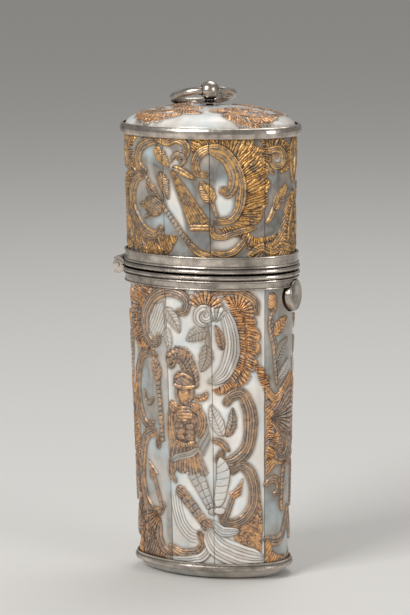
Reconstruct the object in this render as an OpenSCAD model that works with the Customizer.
// Sewing etui: a tapered oval case of pearl staves in silver mounts, with a hinged domed lid,
// a push-button latch, a hanging ring and a block of sewing tools inside.
// The origin is at the middle of the foot. +Z is up, the hinge is at -X and the button at +X.

/* [Oval] */
// Half length of the oval over the pearl, at the mouth
oval_half_length = 18; // [16.5:0.1:20]
// Half depth of the oval over the pearl, at the mouth
oval_half_depth = 11.8; // [11.2:0.1:12.6]

/* [Walls] */
// Thickness of the pearl staves
pearl_thickness = 1; // [0.8:0.05:1.1]
// Thickness of the wooden carcass under the staves
core_thickness = 0.9; // [0.7:0.05:1]
// Thickness of a glue line
glue_line = 0.04; // [0.02:0.01:0.06]
// Width of the open line between two staves
stave_joint = 0.1; // [0.06:0.01:0.2]
// How far the middle stave of a long side stands towards the hinge
stave_shift = 0.9; // [0:0.1:1.5]

/* [Case] */
// Height of the mouth of the case above the surface
case_height = 63.7; // [60:0.1:70]
// How far the case draws in from the mouth to the foot
foot_inset = 1.8; // [1.4:0.1:2]
// Thickness of the carcass floor
floor_thickness = 1.2; // [0.8:0.1:1.6]
// Depth of the pearl slab that the case stands on
base_depth = 2.6; // [2.2:0.1:3]
// Height of the silver band round the foot
foot_rim_height = 1.6; // [1.3:0.1:2]
// How far the foot slab shows below that band
foot_show = 2.1; // [1.8:0.1:2.1]

/* [Lid] */
// Open line between the lid and the case
lid_gap = 0.3; // [0.2:0.02:0.4]
// Height of the lid wall, from its mouth to the top of its staves
lid_wall = 28.2; // [26:0.1:31]
// How far the lid spreads from its mouth to its top
lid_spread = 0.4; // [0.2:0.05:0.6]
// Height of the silver band round the top of the lid
top_rim_height = 2.2; // [1.9:0.1:2.6]
// Thickness of the edge of the domed pearl slab
slab_edge = 0.8; // [0.6:0.1:1]
// Rise of the dome above that edge
dome_rise = 4.5; // [4.4:0.1:5]
// Thickness of the carcass top
ceiling_thickness = 1; // [0.8:0.1:1.4]
// Thickness of the lining on the lid wall
lining_thickness = 0.3; // [0.2:0.05:0.4]
// Thickness of the padded lining under the lid top
pad_thickness = 0.9; // [0.7:0.1:1.2]

/* [Mounts] */
// Thickness of the silver bands
band_thickness = 0.32; // [0.25:0.01:0.4]
// Thickness of the flange that closes the end of a wall
flange_thickness = 0.5; // [0.4:0.05:0.6]
// Height of the mouth mount of the case
case_rim_height = 3; // [2.8:0.1:3.4]
// Height of the mouth mount of the lid
lid_rim_height = 3.5; // [3.2:0.1:3.9]
// Height of the large bead of a mouth mount
bead_height = 0.95; // [0.8:0.05:1]
// Height of the small rib of a mouth mount
rib_height = 0.5; // [0.4:0.05:0.6]
// Height of the lip of a mouth mount
lip_height = 0.4; // [0.3:0.05:0.5]
// How far the large bead stands off its band
bead_proud = 0.42; // [0.35:0.01:0.45]
// How far the rib and the lip stand off their band
rib_proud = 0.2; // [0.15:0.01:0.25]
// Thickness of the collar that guides the lid
collar_thickness = 0.4; // [0.35:0.05:0.45]
// Play between the collar and the lid
collar_play = 0.35; // [0.3:0.05:0.4]
// How far the collar stands above the mouth of the case
collar_rise = 3.2; // [2.8:0.1:3.6]
// How far the collar reaches down into the case
collar_depth = 6; // [5.8:0.1:6.2]

/* [Hinge] */
// Distance of the hinge axis beyond the pearl
hinge_reach = 1.2; // [1.18:0.01:1.25]
// Radius of the knuckles
knuckle_radius = 1.1; // [1:0.02:1.12]
// Radius of the lugs that carry the knuckles
lug_radius = 1.75; // [1.6:0.05:1.9]
// Radius of the hinge pin
pin_radius = 0.42; // [0.35:0.01:0.5]
// Length of the hinge
hinge_length = 8; // [7:0.1:9]
// Length of the middle knuckle, which is the lid's
lid_knuckle = 2.6; // [2.2:0.1:3]
// Running clearance of the hinge
hinge_play = 0.06; // [0.04:0.01:0.08]

/* [Latch] */
// Radius of the push button
button_radius = 3.25; // [2.9:0.05:3.4]
// Depth of the button's middle below the mouth
button_drop = 4.9; // [4.8:0.05:5]
// How far the button stands off the pearl
button_proud = 0.9; // [0.85:0.05:1]
// Thickness of the button
button_thickness = 1.1; // [1:0.02:1.14]
// Travel of the button
button_travel = 0.7; // [0.6:0.05:0.7]
// Radius of the button's shank
shank_radius = 0.8; // [0.7:0.05:0.9]
// Running clearance of the button and its shank
button_play = 0.15; // [0.1:0.01:0.2]
// Width of the catch that hangs from the lid
catch_width = 4; // [3.6:0.1:4.4]
// Thickness of the catch
catch_thickness = 0.4; // [0.35:0.05:0.45]
// How far the catch hangs below the mouth of the case
catch_hang = 3.4; // [3.2:0.1:3.5]
// Thickness of the latch spring
spring_thickness = 0.3; // [0.25:0.05:0.35]
// Width of the latch spring
spring_width = 3; // [2.6:0.1:3.4]
// Height of the foot of the latch spring
spring_foot = 3.2; // [2.8:0.1:3.6]
// Length of the latch spring
spring_length = 18; // [16:0.5:20]

/* [Ring] */
// Radius of the bead that holds the ring
bead_radius = 2; // [1.9:0.05:2.1]
// Height of the bead's middle above the dome
bead_height_above = 2.45; // [2.4:0.05:2.6]
// Angle of the bead's hole from the long axis of the oval
bead_turn = 35; // [20:1:45]
// Radius of the ring, to the middle of its wire
ring_radius = 6.1; // [5.8:0.05:6.2]
// Radius of the ring's wire
wire_radius = 0.85; // [0.75:0.01:0.88]
// How far the ring leans below level at rest
ring_lean = 16; // [10:0.5:17]
// Radius of the silver collet under the bead
collet_radius = 2.3; // [2:0.05:2.5]

/* [Tools] */
// Depth of the velvet top of the tool block below the mouth
block_drop = 6.6; // [6.5:0.1:7]
// Thickness of the velvet on the tool block
velvet_thickness = 0.5; // [0.3:0.05:0.6]
// Play between the tool block and the carcass
block_play = 0.12; // [0.08:0.01:0.2]
// Play between a tool and its socket
tool_play = 0.2; // [0.15:0.01:0.25]
// Radius of the needle case
needle_case_radius = 2.9; // [2.6:0.05:3]
// Length of the needle case with its cap
needle_case_length = 64; // [58:0.5:65]
// Length of the needle case's cap
needle_cap_length = 12; // [10:0.5:13]
// Wall of the needle case
needle_case_wall = 0.6; // [0.5:0.05:0.7]
// Width of the bodkin
bodkin_width = 4.4; // [4:0.1:4.6]
// Thickness of the bodkin
bodkin_thickness = 0.9; // [0.8:0.05:1]
// Length of the bodkin
bodkin_length = 62; // [56:0.5:64]
// Radius of the stiletto's handle
stiletto_radius = 1.9; // [1.7:0.05:2]
// Length of the stiletto's handle
stiletto_handle_length = 24; // [22:0.5:26]
// Length of the stiletto's steel spike
stiletto_spike_length = 38; // [34:0.5:40]
// Radius of the tambour hook's handle
hook_radius = 1.7; // [1.5:0.05:1.8]
// Length of the tambour hook's handle
hook_handle_length = 32; // [30:0.5:36]
// Length of the tambour hook's steel
hook_steel_length = 30; // [26:0.5:32]

/* [Hidden] */
$fn = 48;
STAVES = ["button_end", "back_right", "back_middle", "back_left",
          "hinge_end", "front_left", "front_middle", "front_right"];

silver = "silver";
pearl = "gainsboro";
wood = "peru";
velvet = "darkred";
steel = "slategray";
ivory = "ivory";

// The oval is drawn with four arcs on a 3-4-5 triangle. The ends turn about (+-end_x, 0), the
// sides about (0, +-side_y), and the arcs meet on the lines through those centres.
triangle = [3, 4, 5];
end_radius = (3 * oval_half_depth - oval_half_length) / 2;
end_x = oval_half_length - end_radius;
side_y = end_x * triangle[1] / triangle[0];
side_radius = oval_half_depth + side_y;
end_angle = atan2(triangle[1], triangle[0]);
side_angle = 90 - end_angle;
staves_a_side = 3;

// Offsets from the oval at the mouth, inwards negative, at a height above the surface
function case_out(z) = -foot_inset * (case_height - z) / case_height;
function lid_out(z) = lid_spread * (z - lid_z) / lid_wall;
core_out = pearl_thickness + glue_line;
core_in = core_out + core_thickness;

// Heights above the surface
lid_z = case_height + lid_gap;
lid_top_z = lid_z + lid_wall;
foot_rim_z = foot_show;
floor_z = base_depth + glue_line;
floor_top_z = floor_z + floor_thickness;
case_stave_z = foot_rim_z + flange_thickness + glue_line;
case_end_z = case_height - flange_thickness - glue_line;
lid_start_z = lid_z + flange_thickness + glue_line;
slab_z = lid_top_z + glue_line;
dome_z = slab_z + slab_edge;
apex_z = dome_z + dome_rise;
ceiling_z = lid_top_z - ceiling_thickness;
pad_z = ceiling_z - pad_thickness;
block_top_z = case_height - block_drop - velvet_thickness;

// An outline's half-round moulding from z0 up to z1, standing off a band
function moulding(z0, z1, band, proud, steps = 6) =
    [for (i = [0:steps]) let (t = 180 * i / steps)
        [band + proud * sin(t), (z0 + z1) / 2 - (z1 - z0) / 2 * cos(t)]];
function upside_down(points, z) =
    [for (i = [len(points) - 1:-1:0]) [points[i][0], z - points[i][1]]];

// Profiles are kept to a thousandth, so that swept pieces that meet do so exactly
grain = 0.001;
function exact(length) = round(length / grain) * grain;
function shifted(points, radius) = [for (p = points) [exact(p[0]) + radius, exact(p[1])]];

// Turns a profile of [offset, z] right round the centre of one of the oval's arcs
module turned_arc(centre, radius, points) {
    translate([centre[0], centre[1], 0])
        rotate_extrude()
            polygon(shifted(points, radius));
}

// Upright prisms that hold one end, or one side, of everything on the oval. The ends lap a hair
// over the sides, so that the two are joined for sure.
wedge_lap = 0.001;

module end_wedge(side) {
    reach = oval_half_length;
    from = end_x - wedge_lap;
    linear_extrude(2 * case_height)
        polygon([[side * from, 0],
                 [side * (from + triangle[0] * reach), triangle[1] * reach],
                 [side * (from + triangle[0] * reach), -triangle[1] * reach]]);
}

module side_wedge(side) {
    reach = oval_half_length;
    linear_extrude(2 * case_height)
        polygon([[end_x, 0], [end_x + triangle[0] * reach, side * triangle[1] * reach],
                 [-end_x - triangle[0] * reach, side * triangle[1] * reach], [-end_x, 0]]);
}

// Sweeps a profile of [offset, z] all round the oval
module oval_sweep(points) {
    for (side = [-1, 1]) {
        intersection() {
            turned_arc([side * end_x, 0], end_radius, points);
            end_wedge(side);
        }
        intersection() {
            turned_arc([0, -side * side_y], side_radius, points);
            side_wedge(side);
        }
    }
}

// A solid over the whole oval. Its profile of [offset, z] starts and ends at the middle.
module oval_solid(points) {
    low = points[0][1];
    high = points[len(points) - 1][1];
    inner = side_y - 1;
    for (side = [-1, 1]) {
        intersection() {
            translate([side * end_x, 0, 0])
                rotate_extrude()
                    polygon(concat([[0, low]], shifted(points, end_radius), [[0, high]]));
            end_wedge(side);
        }
        intersection() {
            translate([0, -side * side_y, 0])
                rotate_extrude()
                    polygon(concat([[inner, low]], shifted(points, side_radius), [[inner, high]]));
            side_wedge(side);
        }
    }
}

// Points of the oval at an offset, as a loop of short chords
function oval_arc(centre, radius, from, to, steps) =
    [for (i = [0:steps - 1]) let (t = from + (to - from) * i / steps)
        [centre[0] + radius * cos(t), centre[1] + radius * sin(t)]];
function oval_loop(offset, steps = 12) = concat(
    oval_arc([end_x, 0], end_radius + offset, -end_angle, end_angle, steps),
    oval_arc([0, -side_y], side_radius + offset, end_angle, 180 - end_angle, steps),
    oval_arc([-end_x, 0], end_radius + offset, 180 - end_angle, 180 + end_angle, steps),
    oval_arc([0, side_y], side_radius + offset, 180 + end_angle, 360 - end_angle, steps));

// A domed oval plate: a flat underside and edge, then an ellipsoidal top
module oval_dome(offset, low, edge, rise, rings = 8) {
    loop = oval_loop(offset);
    around = len(loop);
    points = concat(
        [for (p = loop) [p[0], p[1], low]],
        [for (k = [0:rings - 1]) let (t = 90 * k / rings)
            for (p = loop) [p[0] * cos(t), p[1] * cos(t), low + edge + rise * sin(t)]],
        [[0, 0, low + edge + rise]]);
    apex = len(points) - 1;
    faces = concat(
        [[for (i = [0:around - 1]) i]],
        [for (k = [0:rings - 1]) for (i = [0:around - 1]) let (j = (i + 1) % around)
            each [[k * around + i, (k + 1) * around + i, (k + 1) * around + j],
                  [k * around + i, (k + 1) * around + j, k * around + j]]],
        [for (i = [0:around - 1]) [rings * around + i, apex, rings * around + (i + 1) % around]]);
    polyhedron(points, faces);
}

// Sweeps a profile of [offset, z] over one stave, leaving half a joint line at each edge
module stave(number, points) {
    half = len(STAVES) / 2;
    side = number < half ? 1 : -1;
    place = number % half;
    at_end = place == 0;
    centre = at_end ? [side * end_x, 0] : [0, -side * side_y];
    radius = at_end ? end_radius : side_radius;
    width = 2 * side_angle / staves_a_side;
    shift = side * stave_shift / side_radius * 180 / PI;
    from = at_end ? -end_angle : end_angle + (place - 1) * width + (place > 1 ? shift : 0);
    to = at_end ? end_angle : end_angle + place * width + (place < staves_a_side ? shift : 0);
    gap = stave_joint / radius * 90 / PI;
    translate([centre[0], centre[1], 0])
        rotate([0, 0, (1 - side) * 90 + from + gap])
            rotate_extrude(angle = to - from - 2 * gap)
                polygon(shifted(points, radius));
}

// The foot

foot_offset = case_out(case_stave_z);
// How far the foot slab rounds in below its edge
foot_round = 3;

module base_slab() {
    edge = case_out(foot_rim_z) - glue_line;
    color(pearl)
        oval_solid([[edge - foot_round, 0], [edge - foot_round * 0.57, foot_rim_z * 0.2],
                    [edge - foot_round * 0.23, foot_rim_z * 0.55],
                    [edge - foot_round * 0.05, foot_rim_z * 0.85],
                    [edge, foot_rim_z], [edge, base_depth]]);
}

module foot_rim() {
    inside = foot_offset + glue_line;
    seat = case_out(foot_rim_z);
    top = foot_rim_z + foot_rim_height;
    color(silver)
        oval_sweep(concat(
            [[seat, foot_rim_z]],
            moulding(foot_rim_z, top - lip_height, inside + band_thickness, bead_proud),
            [[inside + band_thickness, top], [case_out(top) + glue_line, top],
             [inside, case_stave_z - glue_line], [seat, case_stave_z - glue_line]]));
}

// The case

// A profile of the case wall between two heights and two depths below the pearl's face
function case_wall(low, high, outside, inside) =
    [[case_out(low) - inside, low], [case_out(low) - outside, low],
     [case_out(high) - outside, high], [case_out(high) - inside, high]];

button_z = case_height - button_drop;
button_x = oval_half_length + case_out(button_z);

// A round bar along X at the height of the button
module button_bar(radius, from, to) {
    translate([from, 0, button_z])
        rotate([0, 90, 0])
            cylinder(r = radius, h = to - from);
}

// Depth of the top of the latch spring below the mouth
spring_drop = 0.7;
spring_foot_z = case_height - spring_drop - spring_length;
rivet_z = spring_foot_z + spring_foot / 2;
rivet_radius = 0.6;
rivet_head = 0.5;

module rivet_bar(radius, from, to) {
    translate([from, 0, rivet_z])
        rotate([0, 90, 0])
            cylinder(r = radius, h = to - from);
}

module case_core() {
    color(wood)
        difference() {
            oval_solid([[case_out(floor_z) - core_out, floor_z],
                        [case_out(case_end_z) - core_out, case_end_z],
                        [case_out(case_end_z) - core_in, case_end_z],
                        [case_out(floor_top_z) - core_in, floor_top_z]]);
            button_bar(shank_radius + button_play, 0, 2 * oval_half_length);
            rivet_bar(rivet_radius + glue_line, 0, 2 * oval_half_length);
        }
}

module case_stave(number) {
    color(pearl)
        difference() {
            stave(number, case_wall(case_stave_z, case_end_z, 0, pearl_thickness));
            if (number == 0)
                button_bar(button_radius + button_play, 0, 2 * oval_half_length);
        }
}

// Width of the groove between the bead and the rib of a mouth mount
rim_groove = 0.1;

// The outer outline of a mouth mount, from its lip up to its mouth
function rim_outline(low, tall, band) =
    let (bead_low = low + tall - bead_height, rib_top = bead_low - rim_groove)
        concat([[band, low]],
               moulding(low, low + lip_height, band, rib_proud),
               moulding(rib_top - rib_height, rib_top, band, rib_proud * 1.3),
               moulding(bead_low, low + tall, band, bead_proud));

hinge_x = -(oval_half_length + hinge_reach);
hinge_z = case_height + lid_gap / 2;
side_knuckle = (hinge_length - lid_knuckle) / 2 - hinge_play;
// Angle from the axis at which a lug's outer side stops
lug_angle = 122;
pin_overhang = 0.15;

// A bar along the hinge axis, from one side to another
module hinge_bar(radius, from, to) {
    translate([hinge_x, from, hinge_z])
        rotate([-90, 0, 0])
            cylinder(r = radius, h = to - from);
}

// The rounded lug that ties the knuckles of one mount to it. Its outer side stops short, so that
// the two lugs don't meet when the lid is open. It is above the axis (side 1) or below it (-1).
module hinge_lug(side) {
    line = side * lid_gap / 2;
    far = 2 * lug_radius;
    difference() {
        intersection() {
            hinge_bar(lug_radius, -hinge_length / 2, hinge_length / 2);
            translate([hinge_x, hinge_length, hinge_z])
                rotate([90, 0, 0])
                    linear_extrude(2 * hinge_length)
                        polygon([[line * side / tan(lug_angle), line],
                                 [far * cos(lug_angle), side * far * sin(lug_angle)],
                                 [far, side * far * sin(lug_angle)], [far, line]]);
        }
        translate([-end_x, 0, 0])
            cylinder(r = end_radius + glue_line + band_thickness / 2, h = 2 * case_height);
    }
}

module case_rim() {
    low = case_height - case_rim_height;
    band = glue_line + band_thickness;
    under = case_height - flange_thickness;
    color(silver)
        difference() {
            union() {
                oval_sweep(concat(
                    rim_outline(low, case_rim_height, band),
                    [[-core_in, case_height], [-core_in, under],
                     [case_out(under) + glue_line, under], [case_out(low) + glue_line, low]]));
                for (side = [-1, 1])
                    let (from = side > 0 ? lid_knuckle / 2 + hinge_play : -hinge_length / 2)
                        hinge_bar(knuckle_radius, from, from + side_knuckle);
                hinge_lug(-1);
            }
            hinge_bar(pin_radius + hinge_play / 2, -hinge_length, hinge_length);
            hinge_bar(knuckle_radius + hinge_play,
                      -lid_knuckle / 2 - hinge_play, lid_knuckle / 2 + hinge_play);
            button_bar(button_radius + button_play, 0, 2 * oval_half_length);
        }
}

catch_slot_play = 1;
catch_slot = catch_width + 2 * catch_slot_play;

module inner_collar() {
    low = case_height - collar_depth;
    outside = core_in + glue_line;
    color(silver)
        difference() {
            oval_sweep([[case_out(low) - outside, low],
                        [case_out(case_end_z) - outside, case_height],
                        [-core_in - collar_play, lid_z],
                        [-core_in - collar_play, case_height + collar_rise],
                        [-core_in - collar_play - collar_thickness, case_height + collar_rise],
                        [-core_in - collar_play - collar_thickness, case_height],
                        [case_out(low) - outside - collar_thickness, low]]);
            translate([0, -catch_slot / 2, 0])
                cube([2 * oval_half_length, catch_slot, 2 * case_height]);
        }
}

module hinge_pin() {
    color(steel)
        hinge_bar(pin_radius, -hinge_length / 2 - pin_overhang, hinge_length / 2 + pin_overhang);
}

// The latch

catch_play = 0.15;
catch_x = oval_half_length - core_in - collar_play - catch_thickness - catch_play;
// Clear way between the catch and the spring, and room behind the spring for the button's travel
spring_gap = 0.6;
spring_x = catch_x - spring_gap - spring_thickness;
spring_room = rivet_head + button_travel + 0.2;
// Height of the nib on the spring, and of its foot above the end of the catch
nib_height = 0.8;
nib_z = case_height - catch_hang + 1.2;
nib_play = 0.2;

module push_button() {
    face = button_x + button_proud;
    back = face - button_thickness;
    round = 0.45;
    chamfer = 0.2;
    color(silver) {
        translate([0, 0, button_z])
            rotate([0, 90, 0])
                rotate_extrude()
                    polygon([[0, back], [button_radius - chamfer, back], [button_radius, back + chamfer],
                             [button_radius, face - round],
                             [button_radius - round * 0.3, face - round * 0.3],
                             [button_radius - round, face - round * 0.18],
                             [button_radius * 0.5, face], [0, face]]);
        button_bar(shank_radius, spring_x + spring_thickness + glue_line, back + button_thickness / 2);
    }
}

module latch_spring() {
    wall_x = end_x + sqrt(pow(end_radius + case_out(spring_foot_z) - core_in - glue_line, 2)
                          - pow(spring_width / 2, 2));
    nib_width = catch_width * 0.5;
    color(steel)
        difference() {
            union() {
                translate([spring_x, -spring_width / 2, spring_foot_z])
                    cube([spring_thickness, spring_width, spring_length]);
                translate([spring_x, -spring_width / 2, spring_foot_z])
                    cube([wall_x - spring_x, spring_width, spring_foot]);
                translate([spring_x, -nib_width / 2, nib_z])
                    cube([catch_x + catch_thickness - spring_x, nib_width, nib_height]);
            }
            rivet_bar(rivet_radius + glue_line, 0, 2 * oval_half_length);
        }
}

module spring_rivet() {
    outer = oval_half_length + case_out(rivet_z) - core_out - glue_line;
    color(steel) {
        rivet_bar(rivet_radius, spring_x - rivet_head, outer);
        rivet_bar(rivet_radius * 1.8, spring_x - rivet_head, spring_x - glue_line);
    }
}

// The tool block and its tools

// Wood left between a socket and the side of the block at its foot, or the spring's pocket
needle_wall = 2.4;
bodkin_wall = 2.9;
stiletto_wall = 1.8;
hook_wall = 4.2;
foot_half_length = oval_half_length - foot_inset - core_in - block_play;
foot_half_depth = oval_half_depth - foot_inset - core_in - block_play;
needle_case_at = [-(foot_half_length - needle_wall - tool_play - needle_case_radius), 0];
bodkin_at = [0, foot_half_depth - bodkin_wall - tool_play - bodkin_thickness / 2];
stiletto_at = [0, -(foot_half_depth - stiletto_wall - tool_play - stiletto_radius)];
hook_at = [spring_x - spring_room - hook_wall - tool_play - hook_radius, 0];
socket_floor = 3;
tool_foot_z = floor_top_z + socket_floor;

// A socket that a tool stands in, open upwards
module round_socket(at, radius, from) {
    translate([at[0], at[1], from])
        cylinder(r = radius + tool_play, h = case_height);
}

module tool_sockets() {
    round_socket(needle_case_at, needle_case_radius, tool_foot_z);
    slot = [bodkin_width + 2 * tool_play, bodkin_thickness + 2 * tool_play];
    pocket_play = 0.4;
    translate([bodkin_at[0] - slot[0] / 2, bodkin_at[1] - slot[1] / 2, tool_foot_z])
        cube([slot[0], slot[1], case_height]);
    round_socket(stiletto_at, stiletto_radius, stiletto_seat_z);
    round_socket(stiletto_at, spike_radius, tool_foot_z);
    round_socket(hook_at, hook_radius, hook_seat_z);
    round_socket(hook_at, spike_radius, tool_foot_z);
    translate([spring_x - spring_room, -spring_width / 2 - pocket_play, spring_foot_z - pocket_play])
        cube([oval_half_length, spring_width + 2 * pocket_play, case_height]);
}

module block_layer(low, high) {
    inside = core_in + block_play;
    difference() {
        oval_solid([[case_out(low) - inside, low], [case_out(high) - inside, high]]);
        tool_sockets();
    }
}

module tool_block() {
    color(wood)
        block_layer(floor_top_z + glue_line, block_top_z);
}

module block_velvet() {
    color(velvet)
        block_layer(block_top_z + glue_line, block_top_z + velvet_thickness);
}

// A turned piece: a profile of [radius, height] spun about an upright axis
module turned(at, profile) {
    translate([at[0], at[1], 0])
        rotate_extrude()
            polygon(profile);
}

needle_top_z = tool_foot_z + needle_case_length;
needle_split_z = needle_top_z - needle_cap_length;
neck_radius = needle_case_radius - needle_case_wall;
neck_length = 5;
needle_floor = 2;

module needle_case() {
    r = needle_case_radius;
    round = 1;
    bore = neck_radius - needle_case_wall;
    neck_z = needle_split_z + neck_length;
    color(ivory)
        turned(needle_case_at,
               [[0, tool_foot_z], [r - round, tool_foot_z],
                [r - round * 0.3, tool_foot_z + round * 0.4], [r, tool_foot_z + round],
                [r, needle_split_z], [neck_radius, needle_split_z], [neck_radius, neck_z],
                [bore, neck_z], [bore, tool_foot_z + needle_floor], [0, tool_foot_z + needle_floor]]);
}

module needle_case_cap() {
    r = needle_case_radius;
    low = needle_split_z + glue_line;
    bore = neck_radius + hinge_play;
    bore_top = needle_split_z + neck_length + 1;
    ring = 0.6;
    round = 2.2;
    color(ivory)
        turned(needle_case_at,
               [[bore, low], [r, low], [r + ring * 0.2, low + ring / 2], [r, low + ring],
                [r, needle_top_z - round], [r * 0.86, needle_top_z - round * 0.45],
                [r * 0.5, needle_top_z - round * 0.11], [0, needle_top_z],
                [0, bore_top], [bore, bore_top]]);
}

module bodkin() {
    eye = [2, 7];
    eye_drop = 2;
    tip = [0.6, 6];
    shoulder = 8;
    corner = 1.4;
    half = bodkin_width / 2;
    right = [[tip[0], 0], [half * 0.72, tip[1]], [half, bodkin_length - shoulder],
             [half, bodkin_length - corner], [half / 2, bodkin_length]];
    left = [for (i = [len(right) - 1:-1:0]) [-right[i][0], right[i][1]]];
    color(silver)
        translate([bodkin_at[0], bodkin_at[1] + bodkin_thickness / 2, tool_foot_z])
            rotate([90, 0, 0])
                linear_extrude(bodkin_thickness)
                    difference() {
                        polygon(concat(right, left));
                        translate([-eye[0] / 2, bodkin_length - eye[1] - eye_drop])
                            square(eye);
                    }
}

spike_radius = 0.7;
// Share of the stiletto's spike and of the hook's steel that tapers
spike_taper = 0.42;
hook_taper = 0.33;
tang_length = 4;
stiletto_seat_z = tool_foot_z + stiletto_spike_length - tang_length;
hook_seat_z = tool_foot_z + hook_steel_length - tang_length;

// A turned handle with a bored foot for its steel
module turned_handle(at, seat, length, radius) {
    bore = spike_radius + glue_line;
    color(ivory)
        turned(at,
               [[bore, seat], [radius * 0.7, seat], [radius * 0.7, seat + length * 0.1],
                [radius * 0.95, seat + length * 0.13], [radius * 0.75, seat + length * 0.17],
                [radius * 0.6, seat + length * 0.3], [radius * 0.75, seat + length * 0.55],
                [radius, seat + length * 0.8], [radius * 0.75, seat + length * 0.86],
                [radius * 0.9, seat + length * 0.92], [radius * 0.5, seat + length * 0.985],
                [0, seat + length], [0, seat + tang_length], [bore, seat + tang_length]]);
}

module stiletto_handle() {
    turned_handle(stiletto_at, stiletto_seat_z, stiletto_handle_length, stiletto_radius);
}

module stiletto_spike() {
    color(steel)
        turned(stiletto_at,
               [[0, tool_foot_z], [spike_radius * 0.17, tool_foot_z],
                [spike_radius, tool_foot_z + stiletto_spike_length * spike_taper],
                [spike_radius, stiletto_seat_z + tang_length - glue_line],
                [0, stiletto_seat_z + tang_length - glue_line]]);
}

module tambour_handle() {
    turned_handle(hook_at, hook_seat_z, hook_handle_length, hook_radius);
}

module tambour_hook() {
    notch = 0.45;
    notch_z = tool_foot_z + 1.2;
    top = hook_seat_z + tang_length - glue_line;
    color(steel)
        difference() {
            turned(hook_at,
                   [[0, tool_foot_z], [spike_radius * 0.3, tool_foot_z],
                    [spike_radius * 0.65, tool_foot_z + hook_steel_length * hook_taper * 0.3],
                    [spike_radius, tool_foot_z + hook_steel_length * hook_taper],
                    [spike_radius, top], [0, top]]);
            translate([hook_at[0] + spike_radius * 0.15, hook_at[1] - spike_radius, notch_z])
                cube([2 * spike_radius, 2 * spike_radius, notch]);
        }
}

// The lid

// A profile of the lid wall between two heights and two depths below the pearl's face
function lid_wall_profile(low, high, outside, inside) =
    [[lid_out(low) - inside, low], [lid_out(low) - outside, low],
     [lid_out(high) - outside, high], [lid_out(high) - inside, high]];

finial_shank = 0.8;
// Depth of the collet's seat in the dome
collet_seat = 0.1;

module finial_hole(radius) {
    translate([0, 0, lid_z])
        cylinder(r = radius, h = 2 * lid_wall);
}

module lid_core() {
    color(wood)
        difference() {
            oval_solid([[lid_out(ceiling_z) - core_in, ceiling_z],
                        [lid_out(lid_start_z) - core_in, lid_start_z],
                        [lid_out(lid_start_z) - core_out, lid_start_z],
                        [lid_out(lid_top_z) - core_out, lid_top_z]]);
            finial_hole(finial_shank + glue_line);
        }
}

module lid_stave(number) {
    color(pearl)
        stave(number, lid_wall_profile(lid_start_z, lid_top_z, 0, pearl_thickness));
}

module lid_rim() {
    band = glue_line + band_thickness;
    top = lid_z + lid_rim_height;
    over = lid_z + flange_thickness;
    color(silver)
        difference() {
            union() {
                oval_sweep(concat(
                    upside_down(rim_outline(0, lid_rim_height, band), top),
                    [[lid_out(top) + glue_line, top], [lid_out(over) + glue_line, over],
                     [-core_in, over], [-core_in, lid_z]]));
                hinge_bar(knuckle_radius, -lid_knuckle / 2, lid_knuckle / 2);
                hinge_lug(1);
            }
            hinge_bar(pin_radius + hinge_play, -hinge_length, hinge_length);
            for (side = [-1, 1])
                let (from = side > 0 ? lid_knuckle / 2 : -hinge_length / 2 - hinge_play)
                    hinge_bar(knuckle_radius + hinge_play, from, from + side_knuckle + 2 * hinge_play);
        }
}

module top_rim() {
    lap = 0.4;
    high = dome_z + lap;
    low = high - top_rim_height;
    band = lid_out(lid_top_z) + glue_line + band_thickness;
    color(silver)
        oval_sweep(concat(
            moulding(low, high, band, bead_proud),
            [[lid_out(lid_top_z) + glue_line, high], [lid_out(lid_top_z) + glue_line, lid_top_z],
             [lid_out(low) + glue_line, low]]));
}

module lid_slab() {
    rim_play = 0.18;
    color(pearl)
        difference() {
            oval_dome(lid_out(lid_top_z) - rim_play, slab_z, slab_edge, dome_rise);
            finial_hole(finial_shank + glue_line);
            translate([0, 0, apex_z - collet_seat])
                cylinder(r = collet_radius + glue_line, h = dome_rise);
        }
}

lining_play = 0.4;
lining_low = case_height + collar_rise + lining_play;
washer_radius = 2.2;
washer_thickness = 0.5;

module lid_lining() {
    side = core_in + glue_line;
    color(velvet)
        difference() {
            oval_solid([[lid_out(pad_z) - side - lining_thickness, pad_z],
                        [lid_out(lining_low) - side - lining_thickness, lining_low],
                        [lid_out(lining_low) - side, lining_low],
                        [lid_out(ceiling_z) - side, ceiling_z - glue_line]]);
            finial_hole(washer_radius + lining_play);
            translate([0, -catch_width / 2 - lining_play, lid_z])
                cube([2 * oval_half_length, catch_width + 2 * lining_play, catch_foot + lining_play]);
        }
}

catch_foot = 4;

module lid_catch() {
    low = case_height - catch_hang;
    foot_z = lid_z + glue_line;
    wall = oval_half_length - core_in - glue_line;
    window = [catch_width * 0.6, nib_height + 2 * nib_play];
    color(silver)
        difference() {
            translate([0, -catch_width / 2, 0]) {
                translate([catch_x, 0, low])
                    cube([catch_thickness, catch_width, lid_z + catch_foot - low]);
                intersection() {
                    translate([catch_x, 0, foot_z])
                        cube([wall - catch_x, catch_width, catch_foot - glue_line]);
                    translate([end_x, catch_width / 2, lid_z])
                        cylinder(r = end_radius - core_in - glue_line, h = 2 * catch_foot);
                }
            }
            translate([0, -window[0] / 2, nib_z - nib_play])
                cube([2 * oval_half_length, window[0], window[1]]);
        }
}

// The finial and its ring

bead_z = apex_z + bead_height_above;
bead_play = 0.25;
bead_hole = wire_radius + bead_play;
bead_flat = bead_radius * 0.88;
collet_height = 0.5;

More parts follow.
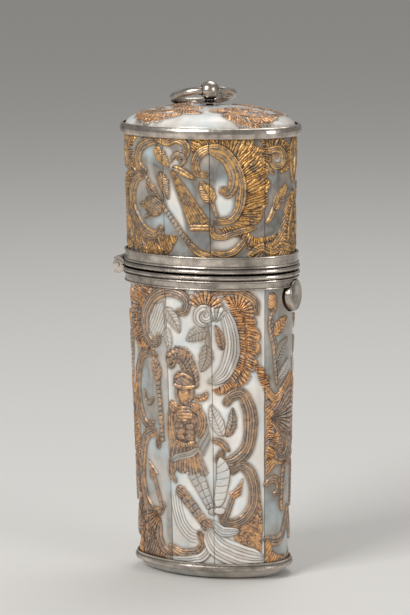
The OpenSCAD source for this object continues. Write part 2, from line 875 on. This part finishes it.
module finial() {
    tail = ceiling_z - washer_thickness - 0.35;
    neck_z = apex_z + collet_height - collet_seat / 2;
    bead_low = bead_z - bead_hole - bead_play;
    color(silver)
        difference() {
            union() {
                intersection() {
                    translate([0, 0, bead_z])
                        sphere(r = bead_radius);
                    translate([0, 0, bead_z])
                        rotate([0, 0, bead_turn])
                            cube([2 * bead_flat, 4 * bead_radius, 4 * bead_radius], center = true);
                }
                translate([0, 0, neck_z])
                    cylinder(r = bead_radius * 0.5, h = bead_low - neck_z);
                translate([0, 0, tail])
                    cylinder(r = finial_shank, h = bead_low - tail);
            }
            translate([0, 0, bead_z])
                rotate([0, 0, bead_turn])
                    rotate([0, 90, 0])
                        cylinder(r = bead_hole, h = 4 * bead_radius, center = true);
        }
}

module finial_collet() {
    low = apex_z - collet_seat;
    bore = finial_shank + glue_line;
    color(silver)
        turned([0, 0],
               [[bore, low], [collet_radius, low], [collet_radius, low + collet_height * 0.4],
                [collet_radius * 0.75, low + collet_height * 0.7],
                [collet_radius * 0.55, low + collet_height], [bore, low + collet_height]]);
}

module finial_washer() {
    top = ceiling_z - glue_line;
    low = top - washer_thickness;
    bore = finial_shank + glue_line;
    chamfer = 0.2;
    color(silver)
        turned([0, 0],
               [[bore, low], [washer_radius - chamfer, low], [washer_radius, low + chamfer],
                [washer_radius, top], [bore, top]]);
}

module hanging_ring() {
    slack = 0.1;
    color(silver)
        translate([0, 0, bead_z])
            rotate([0, 0, bead_turn])
                rotate([-ring_lean, 0, 0])
                    translate([0, ring_radius - slack, 0])
                        rotate_extrude()
                            translate([ring_radius, 0])
                                circle(r = wire_radius);
}

base_slab();
foot_rim();
case_core();
for (i = [0:len(STAVES) - 1]) {
    case_stave(i);
    lid_stave(i);
}
case_rim();
inner_collar();
tool_block();
block_velvet();
hinge_pin();
latch_spring();
spring_rivet();
push_button();
lid_core();
lid_rim();
top_rim();
lid_slab();
lid_lining();
lid_catch();
finial();
finial_collet();
finial_washer();
hanging_ring();
needle_case();
needle_case_cap();
bodkin();
stiletto_handle();
stiletto_spike();
tambour_handle();
tambour_hook();
